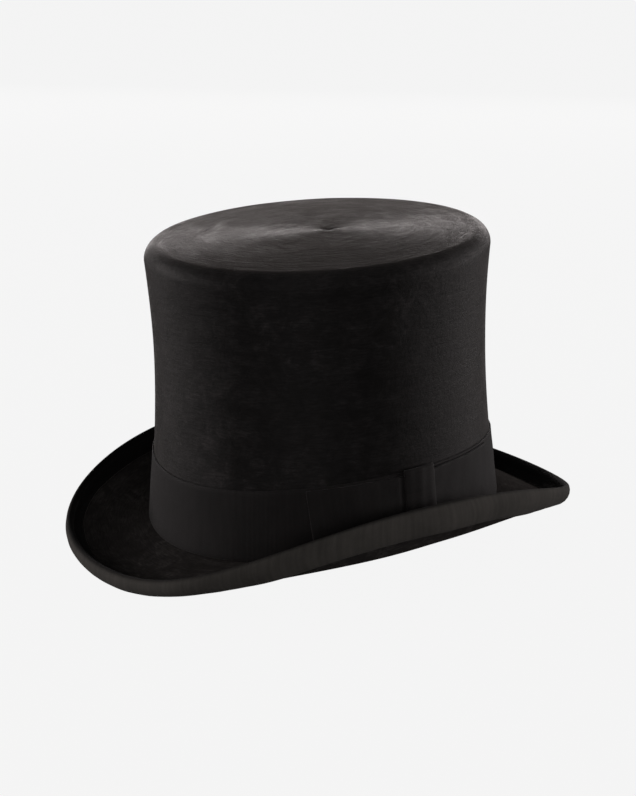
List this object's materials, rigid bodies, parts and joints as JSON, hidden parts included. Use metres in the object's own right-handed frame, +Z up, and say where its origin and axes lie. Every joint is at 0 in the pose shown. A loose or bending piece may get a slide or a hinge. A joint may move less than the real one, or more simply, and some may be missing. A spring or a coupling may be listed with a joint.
{
  "type": "top hat",
  "caption": "Rigid formal top hat: waisted long-nap crown, brim curled up at the sides with a bound edge, ribbon band with a flat bow, leather sweatband and satin lining.",
  "frame": {"origin": "centre of the bounding box's bottom, on the plane the brim stands on", "axes": "+Z up; -Y is the front of the hat, +Y the back; +X is the wearer's left, the bow side. The hat stands on the brim's front and back dips, which leans the crown's axis 3.1 degrees forward"},
  "size_m": [0.2152, 0.3028, 0.1789],
  "materials": {
    "plush": "black long-nap plush, brushed and polished, nap laid round the crown",
    "stiffened_cloth": "layers of cheesecloth stiffened with shellac",
    "grosgrain": "black ribbed silk ribbon, matt",
    "satin": "off-white satin",
    "leather": "smooth tan leather"
  },
  "bodies": {
    "root": {"crown_cover": "plush", "crown_side_shell": "stiffened_cloth", "crown_tip_shell": "stiffened_cloth", "brim_board": "stiffened_cloth", "brim_upper_cover": "plush", "brim_under_cover": "plush", "brim_binding": "grosgrain", "hat_band": "grosgrain", "bow_front_wing": "grosgrain", "bow_back_wing": "grosgrain", "bow_knot": "grosgrain", "lining_side": "satin", "lining_tip": "satin", "sweatband": "leather", "sweatband_reed": "leather", "sweatband_bow": "satin"}
  },
  "joints": []
}
